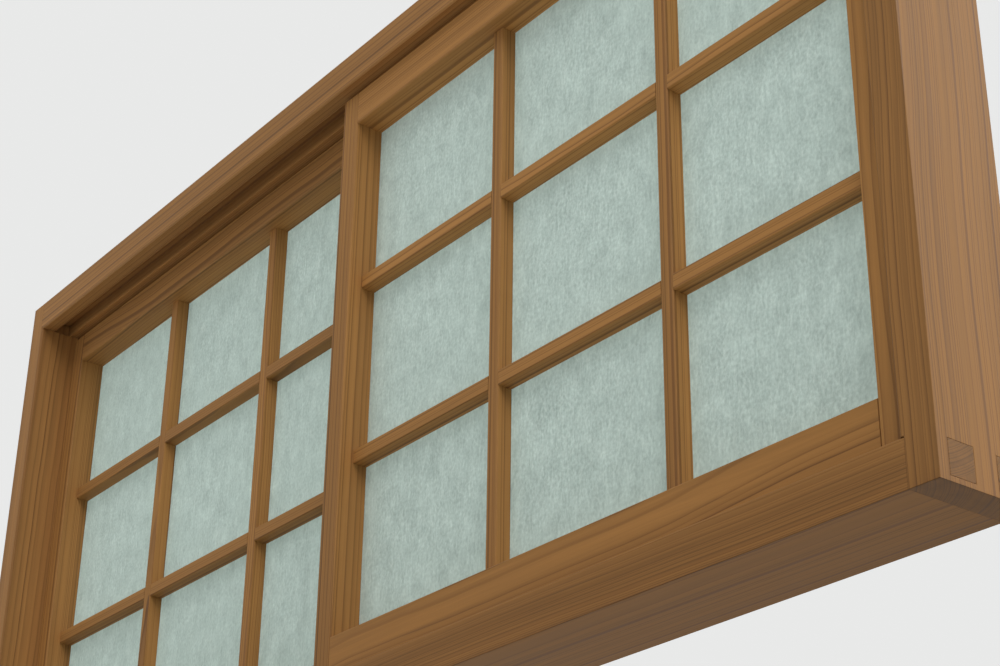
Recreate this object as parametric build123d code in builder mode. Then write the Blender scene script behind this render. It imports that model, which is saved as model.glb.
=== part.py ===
from build123d import *
import os

# A two-leaf sliding shoji window in its own frame.
# X runs along the window, Y from the room to the outside, and Z up.
# The origin is under the middle of the sill, on the surface that the frame stands on.
# The front leaf runs in the groove nearer to the room and closes the right half. The back leaf closes the left.

# Lattice of one leaf, as clear cells
columns = 3
rows = 3
cell_width = 208.0
cell_height = 170.0

# Muntins, flush with each other in front, with the paper glued to their backs
muntin_face = 14.0
muntin_depth = 15.0
muntin_chamfer = 0.8
stub_length = 9.0
stub_shoulder = 3.0

# Stiles and rails of a leaf
leaf_thickness = 31.0
stile_face = 26.0
top_rail_face = 36.0
bottom_rail_face = 40.0
leaf_chamfer = 1.0
rail_tenon_thickness = 10.0
rail_tenon_shoulder = 7.0

# Paper, and the shallow rabbet for its edge round the back of a leaf
paper_thickness = 0.3
paper_lap = 7.0
rabbet_margin = 1.0
rabbet_depth = 1.0

# Tongues of a leaf, and the grooves that they run in
groove_width = 21.0
groove_clearance = 0.5
head_groove_depth = 15.0
sill_groove_depth = 3.0
head_engagement = 9.0
head_gap = 5.0
sill_gap = 1.0

# Frame
leaf_gap = 3.0
reveal = 12.5
head_height = 36.0
sill_height = 36.0
jamb_width = 30.0
housing_depth = 4.0
frame_tenon_width = 24.0
frame_tenon_shoulder = 4.0
frame_tenon_inset = 10.0
frame_chamfer = 1.5

# Glue gap on each side of a tenon or lap, and the relief past the end of a stub tenon
glue_gap = 0.1
mortise_relief = 1.0

# Lengths and depths that follow. The leaves overlap by one stile, so that the meeting stiles cover each other.
inner_width = columns * cell_width + (columns - 1) * muntin_face
inner_height = rows * cell_height + (rows - 1) * muntin_face
leaf_width = inner_width + 2 * stile_face
rabbet_width = paper_lap + rabbet_margin
tongue_thickness = groove_width - 2 * groove_clearance
track_pitch = leaf_thickness + leaf_gap
frame_depth = track_pitch + leaf_thickness + 2 * reveal
opening_width = 2 * leaf_width - stile_face
frame_width = opening_width + 2 * jamb_width

# Heights that follow, from the sill's underside up
sill_groove_floor = sill_height - sill_groove_depth
leaf_bottom = sill_height + sill_gap
lattice_bottom = leaf_bottom + bottom_rail_face
lattice_top = lattice_bottom + inner_height
leaf_top = lattice_top + top_rail_face
head_bottom = leaf_top + head_gap
tongue_top = head_bottom + head_engagement
head_groove_roof = head_bottom + head_groove_depth
frame_height = head_bottom + head_height

# Sections of the stub tenons and of the mortises for them
stub_face = muntin_face - 2 * stub_shoulder
stub_depth = muntin_depth - 2 * stub_shoulder
stub_mortise_face = stub_face + 2 * glue_gap
stub_mortise_depth = stub_depth + 2 * glue_gap


def muntin_centres(start, cell, count):
    """Middles of the muntins that part this many cells, from the inner edge where the first cell starts."""
    return [start + cell + muntin_face / 2 + i * (cell + muntin_face) for i in range(count - 1)]


def paper_front(middle):
    """Front of the paper, which is the back of the muntins, in the leaf with this middle plane."""
    return middle + leaf_thickness / 2 - rabbet_depth


def make_stile(left, middle, side):
    """A stile with its tongues, paper rabbet and mortises. side is -1 for the left one and 1 for the right."""
    inner_face = left + leaf_width / 2 + side * inner_width / 2
    left_face = min(inner_face, inner_face + side * stile_face)
    with BuildPart() as stile:
        with BuildSketch(Plane.YZ.offset(left_face)):
            with Locations((middle, (leaf_bottom + leaf_top) / 2)):
                Rectangle(leaf_thickness, leaf_top - leaf_bottom)
            with Locations((middle, (sill_groove_floor + tongue_top) / 2)):
                Rectangle(tongue_thickness, tongue_top - sill_groove_floor)
        extrude(amount=stile_face)
        chamfer(stile.edges().filter_by(Axis.Z).group_by(Axis.Y)[0], leaf_chamfer)

        # Rabbet for the paper's edge, stopped where the paper ends
        with BuildSketch(Plane.XY.offset(lattice_bottom - rabbet_width)):
            with Locations((inner_face, middle + leaf_thickness / 2)):
                Rectangle(2 * rabbet_width, 2 * rabbet_depth)
        extrude(amount=inner_height + 2 * rabbet_width, mode=Mode.SUBTRACT)

        # Through mortises for the two rails
        with BuildSketch(Plane.YZ.offset(left_face)):
            for low, face in ((leaf_bottom, bottom_rail_face), (lattice_top, top_rail_face)):
                tenon_height = face - 2 * rail_tenon_shoulder
                with Locations((middle, low + face / 2)):
                    Rectangle(rail_tenon_thickness + 2 * glue_gap, tenon_height + 2 * glue_gap)
        extrude(amount=stile_face, mode=Mode.SUBTRACT)

        # Blind mortises for the horizontal muntins
        with BuildSketch(Plane.YZ.offset(inner_face)):
            for z in muntin_centres(lattice_bottom, cell_height, rows):
                with Locations((paper_front(middle) - muntin_depth / 2, z)):
                    Rectangle(stub_mortise_depth, stub_mortise_face)
        extrude(amount=side * (stub_length + mortise_relief), mode=Mode.SUBTRACT)
    return stile


def make_rail(left, middle, is_top):
    """A rail with its tongue, paper rabbet, through tenons and mortises for the vertical muntins."""
    face = top_rail_face if is_top else bottom_rail_face
    outward = 1 if is_top else -1
    inner_edge = lattice_top if is_top else lattice_bottom
    tongue_end = tongue_top if is_top else sill_groove_floor
    with BuildPart() as rail:
        with BuildSketch(Plane.YZ.offset(left + stile_face)):
            with Locations((middle, inner_edge + outward * face / 2)):
                Rectangle(leaf_thickness, face)
            with Locations((middle, (inner_edge + tongue_end) / 2)):
                Rectangle(tongue_thickness, abs(tongue_end - inner_edge))
            with Locations((middle + leaf_thickness / 2, inner_edge)):
                Rectangle(2 * rabbet_depth, 2 * rabbet_width, mode=Mode.SUBTRACT)
        extrude(amount=inner_width)
        front_arrises = rail.edges().filter_by(Axis.X).group_by(Axis.Y)[0].sort_by(Axis.Z)
        chamfer(front_arrises[0] if is_top else front_arrises[-1], leaf_chamfer)

        # Through tenons, as one bar that ends flush with the outer faces of the stiles
        with BuildSketch(Plane.YZ.offset(left)):
            with Locations((middle, inner_edge + outward * face / 2)):
                Rectangle(rail_tenon_thickness, face - 2 * rail_tenon_shoulder)
        extrude(amount=leaf_width)

        # Blind mortises for the vertical muntins
        with BuildSketch(Plane.XY.offset(inner_edge)):
            for x in muntin_centres(left + stile_face, cell_width, columns):
                with Locations((x, paper_front(middle) - muntin_depth / 2)):
                    Rectangle(stub_mortise_face, stub_mortise_depth)
        extrude(amount=outward * (stub_length + mortise_relief), mode=Mode.SUBTRACT)
    return rail


def make_vertical_muntin(middle, x):
    """A vertical muntin, notched from behind where the horizontal ones cross it."""
    back = paper_front(middle)
    with BuildPart() as muntin:
        with BuildSketch(Plane.XY.offset(lattice_bottom)) as section:
            with Locations((x, back - muntin_depth / 2)):
                Rectangle(muntin_face, muntin_depth)
            chamfer(section.vertices().group_by(Axis.Y)[0], muntin_chamfer)
        extrude(amount=inner_height)
        with BuildSketch(Plane.XY.offset(lattice_bottom - stub_length)):
            with Locations((x, back - muntin_depth / 2)):
                Rectangle(stub_face, stub_depth)
        extrude(amount=inner_height + 2 * stub_length)
        with BuildSketch(Plane.YZ.offset(x - muntin_face / 2)):
            for z in muntin_centres(lattice_bottom, cell_height, rows):
                with Locations((back, z)):
                    Rectangle(muntin_depth + 2 * glue_gap, muntin_face + 2 * glue_gap)
        extrude(amount=muntin_face, mode=Mode.SUBTRACT)
    return muntin


def make_horizontal_muntin(left, middle, z):
    """A horizontal muntin, notched from the front where the vertical ones cross it."""
    back = paper_front(middle)
    inner_left = left + stile_face
    with BuildPart() as muntin:
        # In this sketch X is the window's Y, so its first group of corners is the front
        with BuildSketch(Plane.YZ.offset(inner_left)) as section:
            with Locations((back - muntin_depth / 2, z)):
                Rectangle(muntin_depth, muntin_face)
            chamfer(section.vertices().group_by(Axis.X)[0], muntin_chamfer)
        extrude(amount=inner_width)
        with BuildSketch(Plane.YZ.offset(inner_left - stub_length)):
            with Locations((back - muntin_depth / 2, z)):
                Rectangle(stub_depth, stub_face)
        extrude(amount=inner_width + 2 * stub_length)
        with BuildSketch(Plane.XY.offset(z - muntin_face / 2)):
            for x in muntin_centres(inner_left, cell_width, columns):
                with Locations((x, back - muntin_depth)):
                    Rectangle(muntin_face + 2 * glue_gap, muntin_depth)
        extrude(amount=muntin_face, mode=Mode.SUBTRACT)
    return muntin


def make_paper(left, middle):
    """The paper sheet of a leaf, on the backs of the muntins and in the rabbet round them."""
    with BuildPart() as paper:
        with BuildSketch(Plane.XZ.offset(-paper_front(middle))):
            with Locations((left + leaf_width / 2, (lattice_bottom + lattice_top) / 2)):
                Rectangle(inner_width + 2 * paper_lap, inner_height + 2 * paper_lap)
        extrude(amount=-paper_thickness)
    return paper


def frame_tenon_middles():
    """Middle planes of the two tenons at each corner of the frame."""
    middle = frame_depth / 2 - frame_tenon_inset - frame_tenon_width / 2
    return -middle, middle


def make_track(is_head):
    """The head or the sill, grooved from end to end, with its ends housed and tenoned into the jambs."""
    low, high = (head_bottom, frame_height) if is_head else (0, sill_height)
    groove_mouth = head_bottom if is_head else sill_height
    groove_end = head_groove_roof if is_head else sill_groove_floor
    solid_low, solid_high = (groove_end, high) if is_head else (low, groove_end)
    with BuildPart() as track:
        with BuildSketch(Plane.YZ.offset(-opening_width / 2 - housing_depth)) as section:
            with Locations((0, (low + high) / 2)):
                Rectangle(frame_depth, high - low)
            chamfer(section.vertices().group_by(Axis.Y)[0 if is_head else -1], frame_chamfer)
            for y in (-track_pitch / 2, track_pitch / 2):
                with Locations((y, groove_mouth)):
                    Rectangle(groove_width, 2 * abs(groove_end - groove_mouth), mode=Mode.SUBTRACT)
        extrude(amount=opening_width + 2 * housing_depth)

        # Twin tenons in the wood past the grooves, as two bars that end flush with the outer sides of the jambs
        with BuildSketch(Plane.YZ.offset(-frame_width / 2)):
            for y in frame_tenon_middles():
                with Locations((y, (solid_low + solid_high) / 2)):
                    Rectangle(frame_tenon_width, solid_high - solid_low - 2 * frame_tenon_shoulder)
        extrude(amount=frame_width)
    return track


def make_jamb(side):
    """A jamb with the housings and mortises for sill and head. side is -1 for the left one and 1 for the right."""
    inner_face = side * opening_width / 2
    with BuildPart() as jamb:
        with BuildSketch() as section:
            with Locations((inner_face + side * jamb_width / 2, 0)):
                Rectangle(jamb_width, frame_depth)
            chamfer(section.vertices().group_by(Axis.X)[0 if side > 0 else -1], frame_chamfer)
        extrude(amount=frame_height)
        with BuildSketch(Plane.XZ.offset(-frame_depth / 2)):
            for low, high in ((0, sill_height), (head_bottom, frame_height)):
                with Locations((inner_face, (low + high) / 2)):
                    Rectangle(2 * housing_depth, high - low)
        extrude(amount=frame_depth, mode=Mode.SUBTRACT)
        with BuildSketch(Plane.YZ.offset(inner_face)):
            for low, high in ((0, sill_groove_floor), (head_groove_roof, frame_height)):
                tenon_height = high - low - 2 * frame_tenon_shoulder
                for y in frame_tenon_middles():
                    with Locations((y, (low + high) / 2)):
                        Rectangle(frame_tenon_width + 2 * glue_gap, tenon_height + 2 * glue_gap)
        extrude(amount=side * jamb_width, mode=Mode.SUBTRACT)
    return jamb


def make_leaf(name, left, middle):
    """All the pieces of one leaf, by node name. left is its left edge, and middle its middle plane."""
    pieces = {
        f"{name}_stile_left": make_stile(left, middle, -1),
        f"{name}_stile_right": make_stile(left, middle, 1),
        f"{name}_rail_top": make_rail(left, middle, True),
        f"{name}_rail_bottom": make_rail(left, middle, False),
        f"{name}_paper": make_paper(left, middle),
    }
    for i, x in enumerate(muntin_centres(left + stile_face, cell_width, columns), 1):
        pieces[f"{name}_muntin_vertical_{i}"] = make_vertical_muntin(middle, x)
    for i, z in enumerate(muntin_centres(lattice_bottom, cell_height, rows), 1):
        pieces[f"{name}_muntin_horizontal_{i}"] = make_horizontal_muntin(left, middle, z)
    return pieces


# The two leaves, each closed against its own jamb
front_leaf = make_leaf("front", opening_width / 2 - leaf_width, -track_pitch / 2)
back_leaf = make_leaf("back", -opening_width / 2, track_pitch / 2)
frame = {
    "head": make_track(True),
    "sill": make_track(False),
    "jamb_left": make_jamb(-1),
    "jamb_right": make_jamb(1),
}

os.makedirs("parts", exist_ok=True)
for node, piece in {**frame, **front_leaf, **back_leaf}.items():
    piece.part.label = node
    export_step(piece.part, f"parts/{node}.step")
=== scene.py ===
import math
import random

import bpy
from mathutils import Matrix, Vector


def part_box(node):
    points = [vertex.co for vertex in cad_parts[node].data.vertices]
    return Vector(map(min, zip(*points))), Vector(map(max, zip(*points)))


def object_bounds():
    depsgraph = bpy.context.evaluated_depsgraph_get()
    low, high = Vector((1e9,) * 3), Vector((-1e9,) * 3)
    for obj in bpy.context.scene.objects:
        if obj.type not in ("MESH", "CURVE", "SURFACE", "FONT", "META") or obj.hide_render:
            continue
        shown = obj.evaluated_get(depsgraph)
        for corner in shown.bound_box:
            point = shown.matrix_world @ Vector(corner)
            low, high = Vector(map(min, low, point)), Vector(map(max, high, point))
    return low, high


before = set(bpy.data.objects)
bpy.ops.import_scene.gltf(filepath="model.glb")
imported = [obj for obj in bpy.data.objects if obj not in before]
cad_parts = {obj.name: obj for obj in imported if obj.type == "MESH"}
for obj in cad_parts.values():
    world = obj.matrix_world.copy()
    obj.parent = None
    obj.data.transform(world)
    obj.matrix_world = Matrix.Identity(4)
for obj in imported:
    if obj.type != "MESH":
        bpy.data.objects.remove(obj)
cad_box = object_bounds()

# Camera, at the photograph's place and angle, in the part's frame
CAMERA_PLACE = (1.44601, -0.92908, -0.46194)
CAMERA_AIM = (0.25701, -0.0325, 0.28292)
CAMERA_ROLL = math.radians(0.801)
CAMERA_LENS_MM = 70.96
SENSOR_WIDTH_MM = 36.0
CLIP_START = 0.05
CLIP_END = 60

# Wood of the leaves and of the frame, as linear colours of its early and late growth
LEAF_LIGHT = (0.385, 0.183, 0.050)
LEAF_DARK = (0.130, 0.048, 0.011)
FRAME_LIGHT = (0.325, 0.154, 0.043)
FRAME_DARK = (0.112, 0.042, 0.010)

# A member's cut from the log: the log's length and how far the pith lies from the member, in metres, and
# how much the slant of the rings in degrees, the run-out of the grain and the tone vary between members
LOG_LENGTH = 40
PITH_DISTANCE = 0.13
RING_SLANT = 20.0
RUN_OUT = 0.006
TONE = (0.9, 1.1)

# Noise lies between 0 and 1, about this value
NOISE_MIDDLE = 0.5

# How the fibres stray to a side: waves per metre of length, and metres of width
WANDER = (2.0, 0.014)
RIPPLE = (14.0, 0.0010)

# Growth rings, with their darkness through one year as (time of the year, darkness) from spring on
RING_WIDTH = 0.0030
RING_PROFILE = ((0.0, 0.0), (0.45, 0.06), (0.76, 0.5), (0.88, 1.0), (0.96, 0.85), (1.0, 0.0))
FAINTEST_RING = 0.35
# Rings crowd and spread by up to so many years, in so many waves a year
UNEVEN_YEARS = 3.0
UNEVEN_WAVES = 0.42

# Streaks in the wood: waves per metre along and across, detail and roughness
FIBRES = (9.0, 480.0, 4.0, 0.65)
BANDS = (1.1, 75.0, 2.0, 0.5)

# Worn arrises: how far in they reach, how they fade as (depth, wear) stops, and the patches they come in
ARRIS_WEAR = 0.0016
ARRIS_FADE = ((0.0, 1.0), (0.35, 0.55), (1.0, 0.0))
WEAR_WAVES = 24.0
WEAR_PATCHES = ((0.36, 0.0), (0.66, 1.0))

# Shares of rings, fibres, bands, end grain and wear in the wood's colour, roughness and relief
RING_COLOUR = 0.9
BASE_SHADE = 0.46
FIBRE_SHADE = 0.46
BAND_SHADE = 0.62
END_GRAIN_DARKENING = 0.32
WEAR_DARKENING = 0.26
WOOD_ROUGHNESS = 0.58
FIBRE_ROUGHNESS = 0.16
RING_SMOOTHING = 0.08
WEAR_SMOOTHING = 0.10
FIBRE_RELIEF = 0.6
RING_RELIEF = 0.5
WOOD_BUMP = {"Strength": 0.28, "Distance": 0.00025}
WOOD_SPECULAR = 0.28

# Paper, as linear colours of its thin places, thick places and long fibres
PAPER_THIN = (0.74, 0.82, 0.785)
PAPER_THICK = (0.53, 0.605, 0.575)
PAPER_THREAD = (0.84, 0.90, 0.86)
# Layers of pulp: waves per metre across and along, detail, and share of the density
PULP = ((380.0, 300.0, 2.0, 0.40), (320.0, 80.0, 2.0, 0.30), (60.0, 30.0, 3.0, 0.30))
PULP_ROUGHNESS = 0.55
# How thick the paper looks, as (density, thickness) stops
PULP_CONTRAST = ((0.34, 0.0), (0.66, 1.0))
# Layers of long fibres: lean from upright in radians, and waves per metre across and along
THREADS = ((0.12, 130.0, 24.0), (-0.40, 110.0, 30.0), (0.62, 95.0, 34.0))
THREAD_DETAIL = 1.0
# How a fibre fades, as (distance from its line in the noise, strength) stops
THREAD_EDGE = ((0.0, 1.0), (0.022, 0.0))
THREAD_STRENGTH = 0.16
THREAD_RELIEF = 0.25
# How far apart two layers lie in the noise, for each radian between their leans
LAYER_DISTANCE = 9.0
PAPER_BUMP = {"Strength": 0.12, "Distance": 0.0002}
PAPER_ROUGHNESS = 0.85
PAPER_SPECULAR = 0.15
TRANSLUCENCY = 0.55

# Finish of the meshes
ARRIS_RADIUS = 0.00035
ARRIS_SEGMENTS = 2
ARRIS_ANGLE = math.radians(20)
FLAT_ANGLE = math.radians(0.5)
WELD_REACH = 1e-6
PASTE_THICKNESS = 0.00002

# Stage
FLOOR_COLOUR = (0.68, 0.685, 0.68)
BACKDROP_COLOUR = (0.81, 0.815, 0.81)
WHITE = (1.0, 1.0, 1.0)
WORLD_LIGHT = 0.34
FLOOR_DROP = 0.0005
FLOOR_HALF = 30.0
FLOOR_INSET = 0.001

random.seed(21)


class Graph:
    """Builds the node tree of a material or a world."""

    def __init__(self, owner):
        owner.use_nodes = True
        self.tree = owner.node_tree
        self.tree.nodes.clear()

    def put(self, socket, value):
        if isinstance(value, bpy.types.NodeSocket):
            self.tree.links.new(value, socket)
        else:
            socket.default_value = value

    def add(self, kind, settings=None, **inputs):
        """A shader node, with its settings, and its inputs by name with _ for a space."""
        node = self.tree.nodes.new("ShaderNode" + kind)
        for name, value in (settings or {}).items():
            setattr(node, name, value)
        for name, value in inputs.items():
            self.put(node.inputs[name.replace("_", " ")], value)
        return node

    def math(self, operation, *values):
        node = self.tree.nodes.new("ShaderNodeMath")
        node.operation = operation
        for socket, value in zip(node.inputs, values):
            self.put(socket, value)
        return node.outputs[0]

    def plus(self, first, second):
        return self.math("ADD", first, second)

    def minus(self, first, second):
        return self.math("SUBTRACT", first, second)

    def times(self, first, second):
        return self.math("MULTIPLY", first, second)

    def dim(self, shade, where, share):
        """The shade, made darker by this share where the mask is 1."""
        return self.times(shade, self.minus(1.0, self.times(where, share)))

    def vector(self, x, y, z):
        return self.add("CombineXYZ", X=x, Y=y, Z=z).outputs[0]

    def parts(self, vector):
        """The X, Y and Z of a vector, by name."""
        return self.add("SeparateXYZ", Vector=vector).outputs

    def noise(self, vector, detail, roughness=0.5, scale=1.0):
        node = self.add("TexNoise", Vector=vector, Scale=scale, Detail=detail, Roughness=roughness)
        return node.outputs[0]

    def mix(self, factor, first, second, blend="MIX"):
        node = self.tree.nodes.new("ShaderNodeMix")
        node.data_type = "RGBA"
        node.blend_type = blend
        factor_socket, first_socket, second_socket = node.inputs[0], node.inputs[6], node.inputs[7]
        self.put(factor_socket, factor)
        self.put(first_socket, first)
        self.put(second_socket, second)
        return node.outputs[2]

    def mix_shaders(self, factor, first, second):
        """The shader of the first node, with this share of the second node's."""
        node = self.add("MixShader", Fac=factor)
        self.tree.links.new(first.outputs[0], node.inputs[1])
        self.tree.links.new(second.outputs[0], node.inputs[2])
        return node.outputs[0]

    def ramp(self, factor, *stops):
        """A value that follows (place, value) stops."""
        node = self.add("ValToRGB", Fac=factor)
        elements = node.color_ramp.elements
        while len(elements) < len(stops):
            elements.new(0.5)
        for element, (place, value) in zip(elements, stops):
            element.position = place
            element.color = (value, value, value, 1)
        return node.outputs[0]

    def grey(self, value):
        """A colour of this brightness."""
        return self.add("CombineColor", Red=value, Green=value, Blue=value).outputs[0]

    def bump(self, height, settings):
        return self.add("Bump", Height=height, **settings).outputs[0]


def rgba(colour):
    return (*colour, 1.0)


def cut_from_log(sides, low, high):
    """Draws a member's cut: its place along the log, the pith line beside it, its run-out and its tone.

    The rings lie slantwise to all its sides, so that each side shows straight lines.
    """
    from_butt = random.uniform(0, LOG_LENGTH)
    quarter = random.randrange(4)
    angle = math.radians(45 + 90 * quarter + random.uniform(-RING_SLANT, RING_SLANT))
    middle = [(low["XYZ".index(side)] + high["XYZ".index(side)]) / 2 for side in sides]
    pith = [middle[0] + PITH_DISTANCE * math.cos(angle), middle[1] + PITH_DISTANCE * math.sin(angle)]
    run_out = random.uniform(-RUN_OUT, RUN_OUT)
    tone = random.uniform(*TONE)
    return from_butt, pith, run_out, tone


def near_arris(g, place, sides, low, high):
    """1 at the member's long arrises, and 0 a little way in from them."""
    to_arris = []
    for side in sides:
        index = "XYZ".index(side)
        from_low = g.minus(place[side], low[index])
        from_high = g.minus(high[index], place[side])
        to_arris.append(g.math("MINIMUM", from_low, from_high))
    depth = g.math("DIVIDE", g.math("MAXIMUM", *to_arris), ARRIS_WEAR)
    return g.ramp(depth, *ARRIS_FADE)


def growth_rings(g, radius):
    """0 in the pale wood of spring and up to 1 in the dark wood of autumn, in uneven rings."""
    years = g.math("DIVIDE", radius, RING_WIDTH)
    waves = g.times(years, UNEVEN_WAVES)
    uneven = g.add("TexNoise", {"noise_dimensions": "1D"}, W=waves, Scale=1.0, Detail=1.0).outputs[0]
    years = g.plus(years, g.times(uneven, UNEVEN_YEARS))
    season = g.add("TexWhiteNoise", {"noise_dimensions": "1D"}, W=g.math("FLOOR", years)).outputs[0]
    late = g.ramp(g.math("FRACT", years), *RING_PROFILE)
    return g.times(late, g.plus(FAINTEST_RING, g.times(season, 1 - FAINTEST_RING)))


def wood(name, along, low, high, light, dark):
    """Straight-grained softwood, whose growth rings run round a pith line beside the member."""
    material = bpy.data.materials.new(name)
    g = Graph(material)
    coordinates = g.add("TexCoord").outputs
    place = g.parts(coordinates["Object"])
    facing = g.parts(coordinates["Normal"])
    sides = "YZ" if along == "X" else "XY"
    across, through = place[sides[0]], place[sides[1]]
    end_grain = g.math("ABSOLUTE", facing[along])
    arris = near_arris(g, place, sides, low, high)
    from_butt, pith, run_out, tone = cut_from_log(sides, low, high)
    length = g.plus(place[along], from_butt)

    def stray(waves, width):
        """How far the fibres go to a side along the length."""
        waver = g.noise(g.vector(g.times(length, waves), across, through), detail=1.0)
        return g.times(g.minus(waver, NOISE_MIDDLE), width)

    wander = g.plus(stray(*WANDER), stray(*RIPPLE))
    drift = g.plus(wander, g.times(length, run_out))
    first = g.minus(g.plus(across, drift), pith[0])
    second = g.minus(g.plus(through, wander), pith[1])
    radius = g.math("SQRT", g.plus(g.times(first, first), g.times(second, second)))
    late = growth_rings(g, radius)

    def streaks(waves_along, waves_across, detail, roughness):
        """Noise that is stretched along the grain."""
        stretched = g.vector(
            g.times(length, waves_along), g.times(first, waves_across), g.times(second, waves_across)
        )
        return g.noise(stretched, detail, roughness)

    # Fine fibres, and wide bands of heartwood
    fibre = streaks(*FIBRES)
    band = streaks(*BANDS)
    colour = g.mix(g.times(late, RING_COLOUR), rgba(light), rgba(dark))
    shade = g.plus(g.times(fibre, FIBRE_SHADE), g.times(band, BAND_SHADE))
    shade = g.times(g.plus(shade, BASE_SHADE), tone)
    shade = g.dim(shade, end_grain, END_GRAIN_DARKENING)

    # Handling has darkened the arrises unevenly
    blotch = g.noise(coordinates["Object"], detail=3.0, roughness=0.6, scale=WEAR_WAVES)
    worn = g.times(arris, g.ramp(blotch, *WEAR_PATCHES))
    shade = g.dim(shade, worn, WEAR_DARKENING)
    colour = g.mix(1.0, colour, g.grey(shade), "MULTIPLY")

    roughness = g.plus(WOOD_ROUGHNESS, g.times(fibre, FIBRE_ROUGHNESS))
    roughness = g.minus(roughness, g.times(late, RING_SMOOTHING))
    roughness = g.minus(roughness, g.times(worn, WEAR_SMOOTHING))
    relief = g.plus(g.times(fibre, FIBRE_RELIEF), g.times(late, RING_RELIEF))
    shader = g.add(
        "BsdfPrincipled",
        Base_Color=colour,
        Roughness=roughness,
        Specular_IOR_Level=WOOD_SPECULAR,
        Normal=g.bump(relief, WOOD_BUMP),
    )
    g.add("OutputMaterial", Surface=shader.outputs[0])
    return material


def paper():
    """Hand-laid paper: pale, translucent, with fibres that mostly run up and down."""
    material = bpy.data.materials.new("washi")
    g = Graph(material)
    place = g.parts(g.add("TexCoord").outputs["Object"])
    wide, high, deep = place["X"], place["Z"], place["Y"]

    def fibres(across, along, detail, lean=0.0):
        """Noise that is stretched along the fibres, which lean by an angle from upright."""
        cosine, sine = math.cos(lean), math.sin(lean)
        side = g.minus(g.times(wide, cosine), g.times(high, sine))
        up = g.plus(g.times(wide, sine), g.times(high, cosine))
        layer = g.plus(deep, LAYER_DISTANCE * lean)
        return g.noise(g.vector(g.times(side, across), g.times(up, along), layer), detail, PULP_ROUGHNESS)

    # Pulp, as short felted fibres and thin places
    density = 0.0
    for across, along, detail, share in PULP:
        density = g.plus(density, g.times(fibres(across, along, detail), share))
    dense = g.ramp(density, *PULP_CONTRAST)

    # Long single fibres, as thin lines that cross each other
    threads = 0.0
    for lean, across, along in THREADS:
        from_line = g.math("ABSOLUTE", g.minus(fibres(across, along, THREAD_DETAIL, lean), NOISE_MIDDLE))
        threads = g.plus(threads, g.ramp(from_line, *THREAD_EDGE))

    colour = g.mix(dense, rgba(PAPER_THIN), rgba(PAPER_THICK))
    colour = g.mix(g.times(threads, THREAD_STRENGTH), colour, rgba(PAPER_THREAD))
    bump = g.bump(g.plus(density, g.times(threads, THREAD_RELIEF)), PAPER_BUMP)
    front = g.add(
        "BsdfPrincipled",
        Base_Color=colour,
        Roughness=PAPER_ROUGHNESS,
        Specular_IOR_Level=PAPER_SPECULAR,
        Normal=bump,
    )
    through = g.add("BsdfTranslucent", Color=colour, Normal=bump)
    g.add("OutputMaterial", Surface=g.mix_shaders(TRANSLUCENCY, front, through))
    return material


def grain_direction(low, high):
    """The grain runs along a member's longer side."""
    return "X" if high.x - low.x > high.z - low.z else "Z"


def weld_corners(piece):
    """Joins a CAD mesh's triangles at their corners."""
    weld = piece.modifiers.new("weld", "WELD")
    weld.merge_threshold = WELD_REACH


def soften_arrises(piece):
    """Rounds the arrises of a CAD piece by a hair, after its triangles are joined into whole faces."""
    weld_corners(piece)
    flat = piece.modifiers.new("flat_faces", "DECIMATE")
    flat.decimate_type = "DISSOLVE"
    flat.angle_limit = FLAT_ANGLE
    bevel = piece.modifiers.new("arrises", "BEVEL")
    bevel.width = ARRIS_RADIUS
    bevel.segments = ARRIS_SEGMENTS
    bevel.limit_method = "ANGLE"
    bevel.angle_limit = ARRIS_ANGLE


def leave_paste(sheet):
    """Draws each face of a sheet in by a hair, for the paste that keeps it off the wood.

    Without it, paper and wood lie in one plane. A corner goes along the diagonal of its three faces.
    """
    weld_corners(sheet)
    paste = sheet.modifiers.new("paste", "DISPLACE")
    paste.mid_level = 0.0
    paste.strength = -PASTE_THICKNESS * math.sqrt(3)


def dress_nodes():
    washi = paper()
    for name in sorted(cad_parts):
        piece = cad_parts[name]
        is_leaf = name.startswith(("front_", "back_"))
        piece.data.materials.clear()
        if name.endswith("_paper"):
            piece.data.materials.append(washi)
            leave_paste(piece)
            continue
        light, dark = (LEAF_LIGHT, LEAF_DARK) if is_leaf else (FRAME_LIGHT, FRAME_DARK)
        low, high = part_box(name)
        along = grain_direction(low, high)
        piece.data.materials.append(wood(f"wood_{name}", along, low, high, light, dark))
        soften_arrises(piece)


def floor_material():
    """A pale matt floor that the camera looks through from below, where the photograph is taken from."""
    material = bpy.data.materials.new("floor")
    g = Graph(material)
    matt = g.add("BsdfDiffuse", Color=rgba(FLOOR_COLOUR))
    clear = g.add("BsdfTransparent")
    seen = g.add("LightPath").outputs["Is Camera Ray"]
    from_below = g.times(seen, g.add("NewGeometry").outputs["Backfacing"])
    g.add("OutputMaterial", Surface=g.mix_shaders(from_below, matt, clear))
    return material


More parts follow.
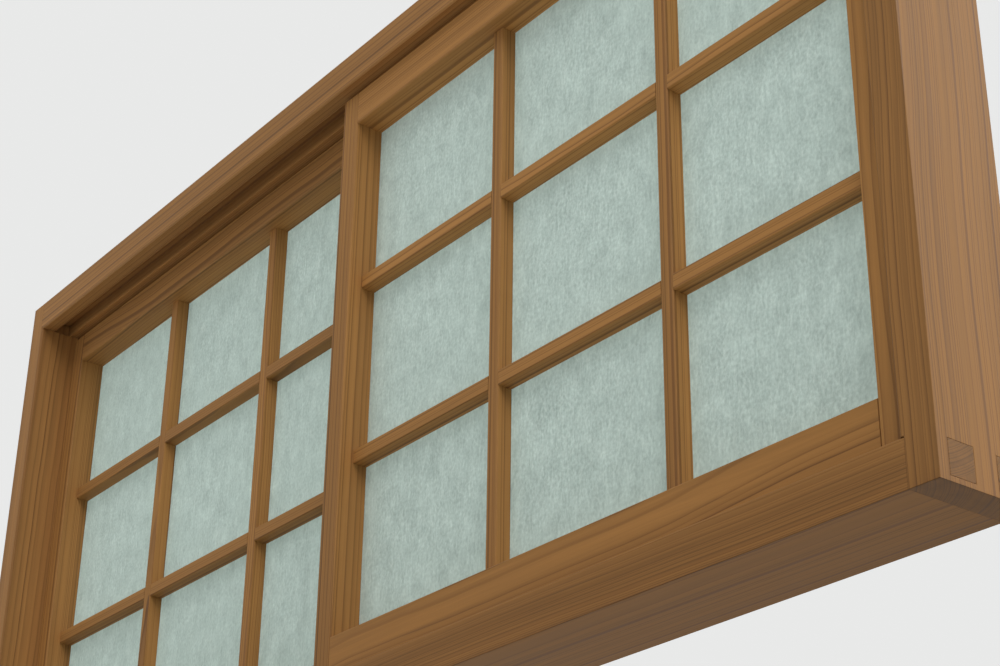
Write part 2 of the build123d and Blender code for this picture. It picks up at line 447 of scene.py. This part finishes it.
def make_floor():
    """A floor round the frame's footprint, left open under it."""
    low, high = cad_box
    left, right = low.x + FLOOR_INSET, high.x - FLOOR_INSET
    front, back = low.y + FLOOR_INSET, high.y - FLOOR_INSET
    hole = [(left, front), (right, front), (right, back), (left, back)]
    far = FLOOR_HALF
    outer = [(-far, -far), (far, -far), (far, far), (-far, far)]
    corners = [(x, y, -FLOOR_DROP) for x, y in outer + hole]
    faces = [(i, (i + 1) % 4, 4 + (i + 1) % 4, 4 + i) for i in range(4)]
    mesh = bpy.data.meshes.new("floor")
    mesh.from_pydata(corners, [], faces)
    floor = bpy.data.objects.new("floor", mesh)
    bpy.context.scene.collection.objects.link(floor)
    mesh.materials.append(floor_material())


def make_world():
    """Even light from all round, and a pale backdrop that only the view and reflections show."""
    world = bpy.data.worlds.new("studio")
    bpy.context.scene.world = world
    g = Graph(world)
    path = g.add("LightPath").outputs
    reflected = g.math("MAXIMUM", path["Is Glossy Ray"], path["Is Transmission Ray"])
    seen = g.math("MAXIMUM", path["Is Camera Ray"], reflected)
    light = g.add("Background", Color=rgba(WHITE), Strength=WORLD_LIGHT)
    backdrop = g.add("Background", Color=rgba(BACKDROP_COLOUR), Strength=1.0)
    g.add("OutputWorld", Surface=g.mix_shaders(seen, light, backdrop))


def soft_sun(name, towards, strength, spread, colour):
    """Even light over the whole stage from one side, through a wide softbox."""
    lamp = bpy.data.lights.new(name, "SUN")
    lamp.energy = math.pi * strength
    lamp.angle = math.radians(spread)
    lamp.color = colour
    holder = bpy.data.objects.new(name, lamp)
    holder.rotation_euler = (-Vector(towards)).to_track_quat("-Z", "Y").to_euler()
    bpy.context.scene.collection.objects.link(holder)


def make_lights():
    soft_sun("key", towards=(0.66, -0.38, 0.65), strength=0.46, spread=38, colour=(1.0, 0.985, 0.96))
    soft_sun(
        "window_light", towards=(0.12, 0.72, 0.68), strength=0.75, spread=45, colour=(0.98, 1.0, 0.995)
    )


def make_camera():
    camera_data = bpy.data.cameras.new("camera")
    camera_data.lens = CAMERA_LENS_MM
    camera_data.sensor_width = SENSOR_WIDTH_MM
    camera_data.clip_start = CLIP_START
    camera_data.clip_end = CLIP_END
    camera = bpy.data.objects.new("camera", camera_data)
    view = Vector(CAMERA_AIM) - Vector(CAMERA_PLACE)
    level = view.to_track_quat("-Z", "Y").to_matrix()
    rolled = level @ Matrix.Rotation(CAMERA_ROLL, 3, "Z")
    camera.matrix_world = Matrix.Translation(CAMERA_PLACE) @ rolled.to_4x4()
    bpy.context.scene.collection.objects.link(camera)
    bpy.context.scene.camera = camera


dress_nodes()
make_floor()
make_world()
make_lights()
make_camera()
bpy.context.scene.view_settings.view_transform = "Standard"
